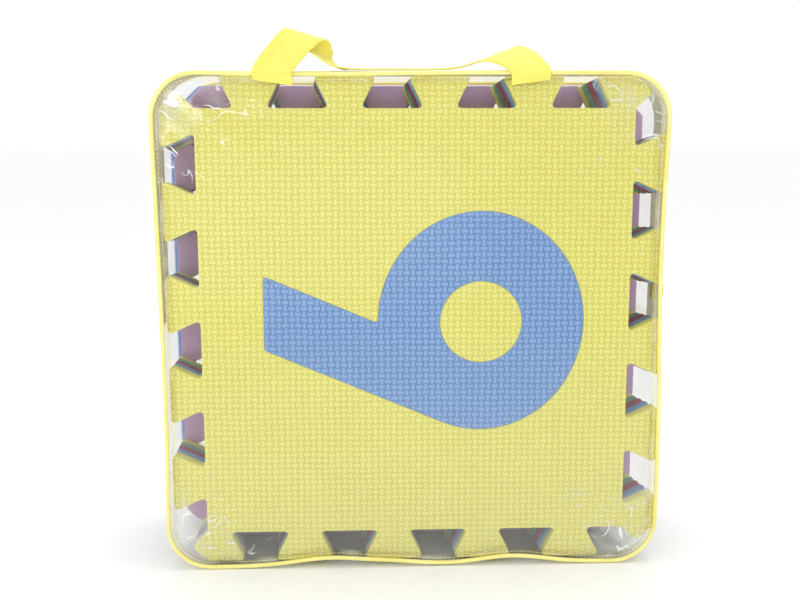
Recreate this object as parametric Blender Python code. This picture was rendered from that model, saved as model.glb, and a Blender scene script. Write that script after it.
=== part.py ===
"""Carry bag of interlocking foam number mats, used as blocking mats.

A clear vinyl bag with corded piping stands on its base.  It holds ten foam
mats on edge, each with a push-out numeral.  The origin is on the floor under
the middle of the bag, +Z is up and the front panel faces -Y.
"""
import math

import bmesh
import bpy
from mathutils import Vector

MM = 0.001

# Foam mats
PITCH = 300 * MM            # one mat's share of a laid floor
TEETH = 5                   # teeth on each side
TOOTH = 20 * MM             # how far a tooth stands out
FLANK = 10 * MM             # how much wider a tooth is at its tip, each side
MAT_T = 10 * MM
MAT_COUNT = 10
GAP = 0.3 * MM              # clearance between pieces that touch

# Numerals
NUMERAL_W = 145 * MM
NUMERAL_L = 209 * MM
BOWL_L = 135 * MM           # bowl of the six and the nine, along the numeral
COUNTER_R = 27 * MM
NINE_MIDDLE = (-2.5 * MM, 5.5 * MM)
LEG_W = 45 * MM
LEG_TILT = math.radians(23)
ARC_STEPS = 14              # points on a full half turn of a numeral

# Bag
BAG_X = -2.15 * MM          # the zip pull stands proud on the right, so the bag sits left
FILM_HALF_X = 165.5 * MM    # outer face of the gusset
FILM_HALF_Z = 163.7 * MM
CORNER_R = 30 * MM
CORNER_STEPS = 6
FILM_T = 0.5 * MM
CORD_R = 2.0 * MM
CORD_SIDES = 8
FLANGE_T = 0.5 * MM
FLANGE_REACH = 6.5 * MM     # past the cord's inner side
CENTRE_Z = FILM_HALF_Z
STACK_HALF = (MAT_COUNT * MAT_T + (MAT_COUNT - 1) * GAP) / 2
PANEL_Y = STACK_HALF + 0.35 * MM
CORD_Y = PANEL_Y + 2.3 * MM
GUSSET_Y = PANEL_Y

# Zip along the gusset, nearer the front panel
ZIP_Y = -30 * MM
FILM_TO_ZIP = 8.5 * MM      # film edge to the zip's middle
TAPE_W = 14 * MM
TAPE_T = 0.6 * MM
COIL_INNER = 0.65 * MM      # half the space between the two coils
COIL_W = 2.2 * MM
COIL_LOW = -0.5 * MM        # below and above the film's outer face
COIL_HIGH = 1.1 * MM
SEAM_HALF = 4 * MM          # cross seam binding, half its height
STOP_LENGTH = 3 * MM
SLIDER_Z = CENTRE_Z + 20 * MM
SLIDER_L = 10 * MM
SLIDER_HALF_W = 4 * MM
PLATE_T = 1.0 * MM
BRIDGE_HALF = 0.35 * MM
BAIL_HALF_L = 3.5 * MM
BAIL_H = 3.0 * MM
BAIL_BAR = 0.9 * MM
BAIL_HALF_W = 0.6 * MM
PULL_T = 1.0 * MM
PULL_HALF_W = 3.0 * MM
PULL_EYE = 1.2 * MM         # half width of the eye around the bail
PULL_BAR = 0.6 * MM         # half height of the bar in the bail
PULL_EYE_L = 5 * MM
PULL_L = 17 * MM

# Handle
STRAP_W = 25 * MM
STRAP_T = 1.2 * MM
TAB_T = 0.9 * MM
TAB_H = 9 * MM
TAB_X = (-90 * MM, 72 * MM)
STRAP_STEPS = 3             # sections between two points of the route
# Middle of the strap in mm, from the bag's middle along X and from the cord's
# axis in Y and Z, with the direction of the strap's width.
STRAP_ROUTE = (
    ((-90, 0, 2.8), (1, 0, 0)),
    ((-88, 0, 10), (1, 0, -0.1)),
    ((-80, 1, 19), (0.97, 0.1, -0.25)),
    ((-71.5, 5, 22.5), (0.93, 0.3, -0.2)),
    ((-63, 11, 18), (0.55, 0.8, -0.2)),
    ((-56, 15, 10.5), (0.3, 0.95, -0.1)),
    ((-47, 17, 5.2), (0.1, 1, 0)),
    ((-30, 18, 4.4), (0, 1, 0)),
    ((0, 18.5, 4.4), (0, 1, 0)),
    ((18, 18, 4.8), (0, 1, 0)),
    ((33, 16, 7.5), (0.25, 1, 0)),
    ((47, 10, 12.5), (0.5, 0.85, 0.05)),
    ((60, 4.5, 15.5), (0.9, 0.4, 0.05)),
    ((69, 1.2, 10.5), (1, 0.1, 0.05)),
    ((72, 0, 2.8), (1, 0, 0)),
)

COLOURS = {
    "yellow": (0.82, 0.76, 0.24),
    "blue": (0.27, 0.43, 0.68),
    "red": (0.62, 0.10, 0.16),
    "green": (0.30, 0.56, 0.42),
    "purple": (0.44, 0.32, 0.45),
    "piping": (0.86, 0.78, 0.24),
    "strap": (0.96, 0.90, 0.16),
    "film": (0.86, 0.88, 0.88),
    "tape": (0.92, 0.90, 0.80),
    "coil": (0.90, 0.84, 0.30),
    "metal": (0.62, 0.62, 0.62),
}

# Mat colour, numeral, numeral colour, and quarter turns clockwise, front to back
STACK = (
    ("yellow", "9", "blue", 1),
    ("blue", "7", "yellow", 0),
    ("red", "5", "green", 3),
    ("green", "3", "purple", 2),
    ("yellow", "1", "red", 0),
    ("purple", "8", "yellow", 1),
    ("blue", "6", "red", 2),
    ("red", "4", "blue", 0),
    ("green", "2", "yellow", 3),
    ("purple", "0", "green", 0),
)
FIRST_FLIPPED = 5           # from here on the mats face the back


def clear_scene():
    for obj in list(bpy.data.objects):
        bpy.data.objects.remove(obj, do_unlink=True)


def material(name, metallic=0.0, roughness=0.6):
    """One plain material for each colour."""
    found = bpy.data.materials.get(name)
    if found:
        return found
    mat = bpy.data.materials.new(name)
    mat.use_nodes = True
    shader = mat.node_tree.nodes["Principled BSDF"]
    shader.inputs["Base Color"].default_value = (*COLOURS[name], 1.0)
    shader.inputs["Metallic"].default_value = metallic
    shader.inputs["Roughness"].default_value = roughness
    return mat


def add_object(name, bm, colour, parent=None, origin=(0, 0, 0)):
    """Turn a bmesh into a named object whose origin may be on its joint."""
    bmesh.ops.recalc_face_normals(bm, faces=bm.faces)
    if bm.calc_volume(signed=True) < 0:
        bmesh.ops.reverse_faces(bm, faces=bm.faces)
    bmesh.ops.translate(bm, verts=bm.verts, vec=-Vector(origin))
    mesh = bpy.data.meshes.new(name)
    bm.to_mesh(mesh)
    bm.free()
    mesh.materials.append(material(colour))
    obj = bpy.data.objects.new(name, mesh)
    bpy.context.scene.collection.objects.link(obj)
    obj.location = origin
    if parent:
        obj.parent = parent
        obj.location = Vector(origin) - parent.location
    return obj


def slab(loops, low, high, to_world):
    """A plate from flat loops, the first one outside and the rest holes."""
    bm = bmesh.new()
    edges = []
    for loop in loops:
        verts = [bm.verts.new((x, y, low)) for x, y in loop]
        edges += [bm.edges.new((verts[i - 1], verts[i])) for i in range(len(verts))]
    bmesh.ops.triangle_fill(bm, use_beauty=True, use_dissolve=False, edges=edges)
    grown = bmesh.ops.extrude_face_region(bm, geom=bm.faces[:])["geom"]
    top = [part for part in grown if isinstance(part, bmesh.types.BMVert)]
    bmesh.ops.translate(bm, verts=top, vec=(0, 0, high - low))
    for vert in bm.verts:
        vert.co = to_world(vert.co)
    return bm


def offset_loop(loop, distance):
    """Move an anticlockwise loop outwards by distance, inwards if negative."""
    moved = []
    for i, here in enumerate(loop):
        before, after = loop[i - 1], loop[(i + 1) % len(loop)]
        a = (Vector(here) - Vector(before)).normalized()
        b = (Vector(after) - Vector(here)).normalized()
        normal = Vector((a.y + b.y, -a.x - b.x)).normalized()
        share = max(0.4, normal.dot(Vector((a.y, -a.x))))
        moved.append((here[0] + normal.x * distance / share, here[1] + normal.y * distance / share))
    return moved


# ---------------------------------------------------------------- foam mats

def side_points():
    """One side of a mat, left to right along the top, in the mat's plane."""
    half = PITCH / 2
    step = PITCH / TEETH
    base, tip = half - FLANK, half + FLANK
    points = [(-half, half), (-base, base)]
    for tooth in range(TEETH):
        middle = -half + step * (tooth + 0.75)
        points += [(middle - TOOTH / 2, base), (middle - TOOTH, tip)]
        if tooth < TEETH - 1:
            points += [(middle + TOOTH, tip), (middle + TOOTH / 2, base)]
        else:
            points += [(base, tip)]
    return points


def quarter_turns(points, turns):
    """Turn points clockwise about the origin by quarter turns."""
    for _ in range(turns % 4):
        points = [(y, -x) for x, y in points]
    return points


def mat_outline():
    """The whole outline, anticlockwise."""
    side = side_points()
    outline = [point for turn in range(4) for point in quarter_turns(side, turn)]
    return outline[::-1]


def arc(centre, radii, start, end):
    """Points of an elliptical arc from start to end, in degrees."""
    count = max(2, round(abs(end - start) / 180 * ARC_STEPS))
    angles = [math.radians(start + (end - start) * i / count) for i in range(count + 1)]
    return [(centre[0] + radii[0] * math.cos(a), centre[1] + radii[1] * math.sin(a)) for a in angles]


def in_mm(points):
    return [(x * MM, y * MM) for x, y in points]


def nine():
    """Bowl with a straight leg that leaves its right side as a tangent."""
    bowl = (NUMERAL_W / 2, BOWL_L / 2)
    centre = (0.0, (NUMERAL_L - BOWL_L) / 2)
    foot = -NUMERAL_L / 2
    nx, ny = math.cos(LEG_TILT), -math.sin(LEG_TILT)
    reach = math.hypot(bowl[0] * nx, bowl[1] * ny)
    start = math.degrees(math.atan2(bowl[1] * ny, bowl[0] * nx))
    inner = reach - LEG_W
    end = start + 360 - math.degrees(math.acos(inner / reach))

    def foot_x(distance):
        return (distance - ny * (foot - centre[1])) / nx

    outline = arc(centre, bowl, start, end)
    outline += [(foot_x(inner), foot), (foot_x(reach), foot)]
    counter = arc(centre, (COUNTER_R, COUNTER_R), 0, 360)[:-1]
    dx, dy = NINE_MIDDLE
    outline, counter = ([(x + dx, y + dy) for x, y in loop] for loop in (outline, counter))
    return outline, [counter]


def six():
    outline, counters = nine()
    return quarter_turns(outline, 2), [quarter_turns(loop, 2) for loop in counters]


def numeral_loops(digit):
    """Outline and counters of a numeral, anticlockwise, in metres."""
    upper, lower = (0, 49.5), (0, -43)
    if digit == "9":
        return nine()
    if digit == "6":
        return six()
    if digit == "0":
        outline = arc((0, 0), (71, 103.5), 0, 360)[:-1]
        return in_mm(outline), [in_mm(arc((0, 0), (27, 58), 0, 360)[:-1])]
    if digit == "8":
        outline = arc(upper, (60, 54), -40, 220) + arc(lower, (71, 60.5), 130, 410)
        counters = [arc(upper, (19, 17), 0, 360)[:-1], arc(lower, (25, 19), 0, 360)[:-1]]
        return in_mm(outline), [in_mm(loop) for loop in counters]
    if digit == "3":
        outline = arc(lower, (71, 60.5), -160, 50) + arc(upper, (60, 54), -40, 160)
        outline += arc(upper, (18, 14), 160, -90) + [(-20, 35.5), (-20, -23)]
        outline += arc(lower, (27, 20), 90, -160)
        return in_mm(outline), []
    if digit == "5":
        outline = arc((0, -36), (71, 67.5), -155, 108) + [(-16, 62), (62, 62), (62, 103.5), (-58, 103.5)]
        outline += [(-64, -6)] + arc((0, -36), (28, 26), 125, -155)
        return in_mm(outline), []
    if digit == "2":
        outline = [(-71, -103.5), (71, -103.5), (71, -62), (8, -62)]
        outline += arc((0, 40), (71, 63.5), -25, 172) + arc((0, 40), (27, 22), 172, -25) + [(-71, -70)]
        return in_mm(outline), []
    if digit == "4":
        outline = [(-71, -68), (-7, -68), (-7, -103.5), (38, -103.5), (38, -68), (66, -68)]
        outline += [(66, -26), (38, -26), (38, 103.5), (-10, 103.5), (-71, -30)]
        return in_mm(outline), [in_mm([(-40, -27), (-8, -27), (-8, 42)])]
    if digit == "7":
        outline = [(-42, -103.5), (6, -103.5), (71, 66), (71, 103.5), (-71, 103.5), (-71, 60), (20, 60)]
        return in_mm(outline), []
    outline = [(-5, -103.5), (40, -103.5), (40, 103.5), (4, 103.5), (-45, 72), (-45, 24), (-5, 48)]
    return in_mm(outline), []


def mat_placer(index):
    """How a point of mat number index goes into the world."""
    flipped = index >= FIRST_FLIPPED
    front_y = -STACK_HALF + index * (MAT_T + GAP)

    def to_world(point):
        x = -point.x if flipped else point.x
        return Vector((BAG_X + x, front_y + point.z, CENTRE_Z + point.y))

    return to_world


def make_mat(index, colour, digit, digit_colour, turns):
    """A mat, its numeral, and the pieces inside the numeral."""
    outline, counters = numeral_loops(digit)
    outline = quarter_turns(outline, turns)
    counters = [quarter_turns(loop, turns) for loop in counters]
    place = mat_placer(index)
    hole = offset_loop(outline, GAP)
    add_object(f"mat_{index + 1:02d}_{colour}", slab([mat_outline(), hole], 0, MAT_T, place), colour)
    add_object(f"numeral_{digit}", slab([outline, *counters], 0, MAT_T, place), digit_colour)
    for loop, part in zip(counters, ("", "_lower")):
        island = slab([offset_loop(loop, -GAP)], 0, MAT_T, place)
        add_object(f"counter_{digit}{part}", island, colour)


# --------------------------------------------------------------------- bag

def gusset_path(start_z=None):
    """Points of the bag's outline with outward directions, as (x, z) pairs.

    Closed and anticlockwise from the front, or with start_z the upper part
    only, from that height on the right over the top to the left.
    """
    inner_x, inner_z = FILM_HALF_X - CORNER_R, FILM_HALF_Z - CORNER_R
    path = []
    for quarter, (sx, sz) in enumerate(((1, 1), (-1, 1), (-1, -1), (1, -1))):
        for i in range(CORNER_STEPS + 1):
            angle = math.pi / 2 * (quarter + i / CORNER_STEPS)
            normal = Vector((math.cos(angle), math.sin(angle)))
            path.append((Vector((sx * inner_x, sz * inner_z)) + normal * CORNER_R, normal))
    if start_z is None:
        return path
    upper = [(point, normal) for point, normal in path if point.y > 0]
    first = (Vector((FILM_HALF_X, start_z)), Vector((1, 0)))
    last = (Vector((-FILM_HALF_X, start_z)), Vector((-1, 0)))
    return [first, *upper, last]


def lower_path(end_z):
    """The lower part of the outline, from the left under the bag to the right."""
    return [(Vector((-point.x, -point.y)), -normal) for point, normal in gusset_path(-end_z)]


def sweep(path, profile, closed):
    """Carry a closed profile of (outward, y) points along a path."""
    bm = bmesh.new()
    rings = []
    for point, normal in path:
        ring = []
        for outward, y in profile:
            place = point + normal * outward
            ring.append(bm.verts.new((BAG_X + place.x, y, CENTRE_Z + place.y)))
        rings.append(ring)
    pairs = list(zip(rings, rings[1:])) + ([(rings[-1], rings[0])] if closed else [])
    for a, b in pairs:
        for i in range(len(profile)):
            bm.faces.new((a[i - 1], a[i], b[i], b[i - 1]))
    if not closed:
        bm.faces.new(rings[0])
        bm.faces.new(rings[-1][::-1])
    return bm


def strip(y_low, y_high, low, high):
    """A rectangular profile between two y values and two outward offsets."""
    return ((low, y_low), (high, y_low), (high, y_high), (low, y_high))


def piping_profile(side):
    """Round cord with a flat flange that runs inwards from it."""
    centre = -CORD_R
    half = FLANGE_T / 2
    reach = centre - CORD_R - FLANGE_REACH
    start = math.asin(half / CORD_R)
    points = [(reach, half), (reach, -half)]
    for i in range(CORD_SIDES + 1):
        angle = math.pi + start + (2 * math.pi - 2 * start) * i / CORD_SIDES
        points.append((centre + CORD_R * math.cos(angle), CORD_R * math.sin(angle)))
    return [(outward, side * (CORD_Y + y)) for outward, y in points]


def make_panel(name, side):
    inset = 2 * CORD_R + GAP
    loop = [tuple(point - normal * inset) for point, normal in gusset_path()]
    outer_y = side * (PANEL_Y + FILM_T / 2)

    def to_world(point):
        return Vector((BAG_X + point.x, outer_y + point.z, CENTRE_Z + point.y))

    add_object(name, slab([loop], -FILM_T / 2, FILM_T / 2, to_world), "film")


def make_bag():
    make_panel("front_panel", -1)
    make_panel("back_panel", 1)
    add_object("front_piping", sweep(gusset_path(), piping_profile(-1), True), "piping")
    add_object("back_piping", sweep(gusset_path(), piping_profile(1), True), "piping")
    edge = GUSSET_Y - GAP
    lower = sweep(lower_path(-GAP / 2), strip(-edge, edge, -FILM_T, 0), False)
    add_object("lower_gusset", lower, "film")
    upper = gusset_path(GAP / 2)
    front = strip(-edge, ZIP_Y - FILM_TO_ZIP, -FILM_T, 0)
    back = strip(ZIP_Y + FILM_TO_ZIP, edge, -FILM_T, 0)
    add_object("upper_gusset_front", sweep(upper, front, False), "film")
    add_object("upper_gusset_back", sweep(upper, back, False), "film")


def make_seam_bindings():
    """Narrow bindings over the cross seams where the zip starts and ends."""
    edge = GUSSET_Y - GAP
    for name, side in (("seam_binding_right", 1), ("seam_binding_left", -1)):
        path = [(Vector((side * FILM_HALF_X, z)), Vector((side, 0))) for z in (-SEAM_HALF, SEAM_HALF)]
        profile = strip(-edge, edge, GAP, GAP + FILM_T)
        add_object(name, sweep(path, profile, False), "film")


def make_zip():
    start = SEAM_HALF + GAP + STOP_LENGTH + GAP
    tape_top = COIL_LOW - GAP
    tape_low = tape_top - TAPE_T
    for name, side in (("front", -1), ("back", 1)):
        low, high = sorted((ZIP_Y + side * COIL_INNER, ZIP_Y + side * TAPE_W))
        tape = sweep(gusset_path(GAP / 2), strip(low, high, tape_low, tape_top), False)
        add_object(f"zip_tape_{name}", tape, "tape")
        low, high = sorted((ZIP_Y + side * COIL_INNER, ZIP_Y + side * (COIL_INNER + COIL_W)))
        coil = sweep(gusset_path(start), strip(low, high, COIL_LOW, COIL_HIGH), False)
        add_object(f"zip_coil_{name}", coil, "coil")
    wide = COIL_INNER + COIL_W
    for name, side in (("start", 1), ("end", -1)):
        heights = (SEAM_HALF + GAP, SEAM_HALF + GAP + STOP_LENGTH)
        path = [(Vector((side * FILM_HALF_X, z)), Vector((side, 0))) for z in heights]
        profile = strip(ZIP_Y - wide, ZIP_Y + wide, COIL_LOW, COIL_HIGH)
        add_object(f"zip_stop_{name}", sweep(path, profile, False), "metal")


def union(target, tool):
    """Join a second solid to the first with a Boolean."""
    tool.hide_render = True
    tool.display_type = "WIRE"
    tool.parent = target
    tool.matrix_parent_inverse = target.matrix_world.inverted()
    modifier = target.modifiers.new("join", "BOOLEAN")
    modifier.operation = "UNION"
    modifier.solver = "EXACT"
    modifier.object = tool


def make_slider():
    """Slider astride the coils with a bail, and the pull hung in the bail."""
    plate = COIL_HIGH + GAP
    roof = plate + PLATE_T
    floor = COIL_LOW - GAP - TAPE_T - GAP
    face_x = BAG_X + FILM_HALF_X
    section = [
        (floor - PLATE_T, -SLIDER_HALF_W), (floor - PLATE_T, SLIDER_HALF_W), (floor, SLIDER_HALF_W),
        (floor, BRIDGE_HALF), (plate, BRIDGE_HALF), (plate, SLIDER_HALF_W), (roof, SLIDER_HALF_W),
        (roof, -SLIDER_HALF_W), (plate, -SLIDER_HALF_W), (plate, -BRIDGE_HALF), (floor, -BRIDGE_HALF),
        (floor, -SLIDER_HALF_W),
    ]

    def upright(point):
        return Vector((face_x + point.x, ZIP_Y + point.y, SLIDER_Z + point.z))

    def sideways(point):
        return Vector((face_x + point.x, ZIP_Y + point.z, SLIDER_Z + point.y))

    origin = (face_x, ZIP_Y, SLIDER_Z)
    slider = add_object("zip_slider", slab([section], -SLIDER_L / 2, SLIDER_L / 2, upright), "metal",
                        origin=origin)
    sunk = roof - PLATE_T / 2
    peak = roof + BAIL_H
    long, short = BAIL_HALF_L, BAIL_HALF_L - BAIL_BAR
    bail = [(sunk, -long), (peak, -long), (peak, long), (sunk, long)]
    window = [(roof + GAP, -short), (peak - BAIL_BAR, -short), (peak - BAIL_BAR, short), (roof + GAP, short)]
    tool = add_object("bail_tool", slab([bail, window], -BAIL_HALF_W, BAIL_HALF_W, sideways), "metal",
                      origin=origin)
    bpy.context.view_layer.update()
    union(slider, tool)
    make_pull(face_x + (roof + GAP + peak - BAIL_BAR) / 2)


def make_pull(axis_x):
    """Flat tab whose upper bar passes through the bail."""
    def to_world(point):
        return Vector((axis_x + point.z, ZIP_Y + point.x, SLIDER_Z + point.y))

    foot = -PULL_L
    half, eye = PULL_HALF_W, PULL_EYE
    outer = [(-half + PULL_BAR, foot), (half - PULL_BAR, foot), (half, foot + PULL_BAR), (half, PULL_BAR),
             (-half, PULL_BAR), (-half, foot + PULL_BAR)]
    window = [(-eye, -PULL_EYE_L), (eye, -PULL_EYE_L), (eye, -PULL_BAR), (-eye, -PULL_BAR)]
    pull = slab([outer, window], -PULL_T / 2, PULL_T / 2, to_world)
    add_object("zip_pull", pull, "strap", origin=(axis_x, ZIP_Y, SLIDER_Z))


# ------------------------------------------------------------------ handle

def smooth_route():
    """Catmull-Rom points through the strap's route, with width directions."""
    points = [Vector(point) for point, _ in STRAP_ROUTE]
    widths = [Vector(width) for _, width in STRAP_ROUTE]
    route = []
    for i in range(len(points) - 1):
        before, after = points[max(i - 1, 0)], points[min(i + 2, len(points) - 1)]
        a, b = points[i], points[i + 1]
        for step in range(STRAP_STEPS):
            t = step / STRAP_STEPS
            bend = (b - before) * t + (2 * before - 5 * a + 4 * b - after) * t ** 2
            bend += (3 * a - before - 3 * b + after) * t ** 3
            route.append((a + bend / 2, widths[i].lerp(widths[i + 1], t).normalized()))
    route.append((points[-1], widths[-1].normalized()))
    return route


def make_handle():
    """The loose strap, which swings about the cord's top run."""
    axis = Vector((0, -CORD_Y, CENTRE_Z + FILM_HALF_Z - CORD_R))
    route = smooth_route()
    bm = bmesh.new()
    rings = []
    for i, (point, width) in enumerate(route):
        along = (route[min(i + 1, len(route) - 1)][0] - route[max(i - 1, 0)][0]).normalized()
        normal = along.cross(width).normalized()
        centre = Vector((BAG_X, 0, 0)) + axis + point * MM
        ring = []
        for across, up in ((-1, -1), (1, -1), (1, 1), (-1, 1)):
            place = centre + width * (across * STRAP_W / 2) + normal * (up * STRAP_T / 2)
            ring.append(bm.verts.new(place))
        rings.append(ring)
    for a, b in zip(rings, rings[1:]):
        for i in range(4):
            bm.faces.new((a[i - 1], a[i], b[i], b[i - 1]))
    bm.faces.new(rings[0])
    bm.faces.new(rings[-1][::-1])
    bmesh.ops.triangulate(bm, faces=bm.faces)
    add_object("handle_strap", bm, "strap", origin=tuple(axis))


def make_handle_tabs():
    """Ends of the strap, sewn in under the flange of the front piping."""
    top = FILM_HALF_Z - 2 * CORD_R - GAP
    front = -(PANEL_Y + FILM_T + GAP)
    for name, x in zip(("handle_tab_left", "handle_tab_right"), TAB_X):
        low_x, high_x = x - STRAP_W / 2, x + STRAP_W / 2
        loop = [(low_x, top - TAB_H), (high_x, top - TAB_H), (high_x, top), (low_x, top)]

        def to_world(point):
            return Vector((BAG_X + point.x, front + point.z, CENTRE_Z + point.y))

        add_object(name, slab([loop], -TAB_T, 0, to_world), "strap")


def main():
    clear_scene()
    for index, row in enumerate(STACK):
        make_mat(index, *row)
    make_bag()
    make_seam_bindings()
    make_zip()
    make_slider()
    make_handle()
    make_handle_tabs()


main()
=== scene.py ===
"""Looks for a clear carry bag of foam number mats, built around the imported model.

All lengths are in metres.  +Z is up and the front panel faces -Y.
"""
import math

import bmesh
import bpy
from mathutils import Matrix, Vector, noise


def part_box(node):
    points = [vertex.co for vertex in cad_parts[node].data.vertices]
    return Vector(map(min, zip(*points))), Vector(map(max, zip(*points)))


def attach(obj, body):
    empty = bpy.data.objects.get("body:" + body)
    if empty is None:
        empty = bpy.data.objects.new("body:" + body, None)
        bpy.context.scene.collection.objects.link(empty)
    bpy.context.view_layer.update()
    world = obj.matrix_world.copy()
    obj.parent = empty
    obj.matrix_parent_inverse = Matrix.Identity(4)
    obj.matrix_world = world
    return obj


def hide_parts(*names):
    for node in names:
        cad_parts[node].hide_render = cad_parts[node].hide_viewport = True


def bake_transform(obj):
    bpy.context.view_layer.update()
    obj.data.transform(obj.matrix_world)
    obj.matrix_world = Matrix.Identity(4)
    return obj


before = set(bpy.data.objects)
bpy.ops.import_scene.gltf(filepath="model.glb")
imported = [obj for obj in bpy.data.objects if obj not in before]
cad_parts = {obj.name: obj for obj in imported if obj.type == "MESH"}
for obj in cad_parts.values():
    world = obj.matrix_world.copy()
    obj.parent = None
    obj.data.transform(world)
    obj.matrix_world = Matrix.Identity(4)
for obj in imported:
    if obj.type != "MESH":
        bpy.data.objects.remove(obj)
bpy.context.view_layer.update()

MM = 0.001

# ------------------------------------------------------------ measured frame
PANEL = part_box("front_panel")
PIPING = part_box("front_piping")
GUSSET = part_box("lower_gusset")
FIRST_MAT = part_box("mat_01_yellow")
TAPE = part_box("zip_tape_front")
TAPE_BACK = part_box("zip_tape_back")

BAG_X = (PIPING[0][0] + PIPING[1][0]) / 2
CENTRE_Z = (PIPING[0][2] + PIPING[1][2]) / 2
HALF_X = (PIPING[1][0] - PIPING[0][0]) / 2
HALF_Z = (PIPING[1][2] - PIPING[0][2]) / 2
CORNER_R = 30 * MM
CORD_R = 2 * MM
CORD_VISIBLE_R = 1.4 * MM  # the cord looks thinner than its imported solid
CORD_Y = PIPING[0][1] + CORD_R
PANEL_Y = PANEL[1][1]
GUSSET_Y = GUSSET[0][1]
ZIP_Y = (TAPE[1][1] + TAPE_BACK[0][1]) / 2

# ------------------------------------------------------------------ the mats
PITCH = 300 * MM
TEETH = 5
TOOTH = 20 * MM
FLANK = 10 * MM
TOOTH_ROUND = 2.8 * MM
NUMERAL_ROUND = 2.2 * MM
MAT_T = 10 * MM
MAT_GAP = 0.3 * MM
RIM = 0.5 * MM              # soft rounding of a cut edge
NUMERAL_W = 145 * MM
NUMERAL_L = 209 * MM
BOWL_L = 135 * MM
COUNTER_R = 27 * MM
NINE_MIDDLE = (-2.5 * MM, 5.5 * MM)
LEG_W = 45 * MM
LEG_TILT = math.radians(23)
ARC_STEPS = 30
CUT = 0.16 * MM             # knife gap round a push-out piece
FRONT_X = 2.2 * MM          # the front mat sits a little right in the bag,
FRONT_Z = 0.6 * MM          # and a little high
LEAN_STEP = 0.9 * MM        # each front-facing mat behind it sits further left,
DROP_STEP = 0.8 * MM        # and lower
SIDE_STRETCH = 0.05         # the side teeth are a little longer than the rest,
FRONT_STRETCH = 0.08        # and most of all on the front mat
# The flipped mats do not line up with each other: shift in X and in Z, in mm
FLIPPED_PLACES = ((-2.0, -3.2), (-6.5, -2.6), (0.0, -3.2), (-5.0, -2.8), (-0.5, -2.4))

# Mat colour, numeral, numeral colour, quarter turns clockwise, front to back
STACK = (
    ("yellow", "9", "blue", 1),
    ("blue", "7", "yellow", 0),
    ("red", "5", "green", 3),
    ("green", "3", "purple", 2),
    ("yellow", "1", "red", 0),
    ("purple", "8", "yellow", 1),
    ("blue", "6", "red", 2),
    ("red", "4", "blue", 0),
    ("green", "2", "yellow", 3),
    ("purple", "0", "green", 0),
)
FIRST_FLIPPED = 5

# Foam colours, linear: the raised weave, and a darker copy that is painted shade for the low places
# between
FOAM = {
    "yellow": ((0.80, 0.765, 0.215), (0.67, 0.62, 0.13)),
    "blue": ((0.24, 0.39, 0.68), (0.12, 0.25, 0.52)),
    "red": ((0.46, 0.075, 0.105), (0.30, 0.03, 0.05)),
    "green": ((0.23, 0.47, 0.36), (0.12, 0.30, 0.22)),
    "purple": ((0.58, 0.39, 0.62), (0.47, 0.31, 0.52)),
}
WEAVE_X = 4.15 * MM
WEAVE_Z = 3.8 * MM

CAMERA_RIGHT = Vector((0.9994, -0.0341, -0.0020))
CAMERA_UP = Vector((0.0073, 0.1577, 0.9875))
CAMERA_LENS = 43.5
# From the middle of the bag's outline, level with the front mat's face
CAMERA_PLACE = Vector((-29.3, -620.3, 117.3)) * MM


# --------------------------------------------------------------- parts of the bag
PATH_STEP = 4 * MM          # along the bag's outline, for film and tape
CORD_STEP = 3 * MM          # and for cord and flange
FILM_T = 0.3 * MM
GUSSET_T = 0.35 * MM
PANEL_LIFT = 0.15 * MM
PANEL_CELLS = 110
FLANGE_T = 0.4 * MM
FLANGE_W = 2.8 * MM
STITCH_STEP = 1.5 * MM
STITCH_INSET = 0.7 * MM
STITCH_R = 0.22 * MM
BINDING_ROWS = 24
BINDING_HALF = 3.6 * MM
TAPE_T = 0.5 * MM
TWILL_W = 2.4 * MM
TWILL_PITCH = 0.8 * MM
COIL_PITCH = 1.9 * MM
COIL_R = 0.36 * MM
WEFT_PITCH = 1.25 * MM
WARP_PITCH = 0.7 * MM

FLOOR_HALF = 60.0
FLOOR_DROP = 0.0002
WORLD_LIGHT = 1.03


# ------------------------------------------------------------------ materials

# Sockets of the mix node that carry colours
MIX_A, MIX_B, MIX_OUT = 6, 7, 2


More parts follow.
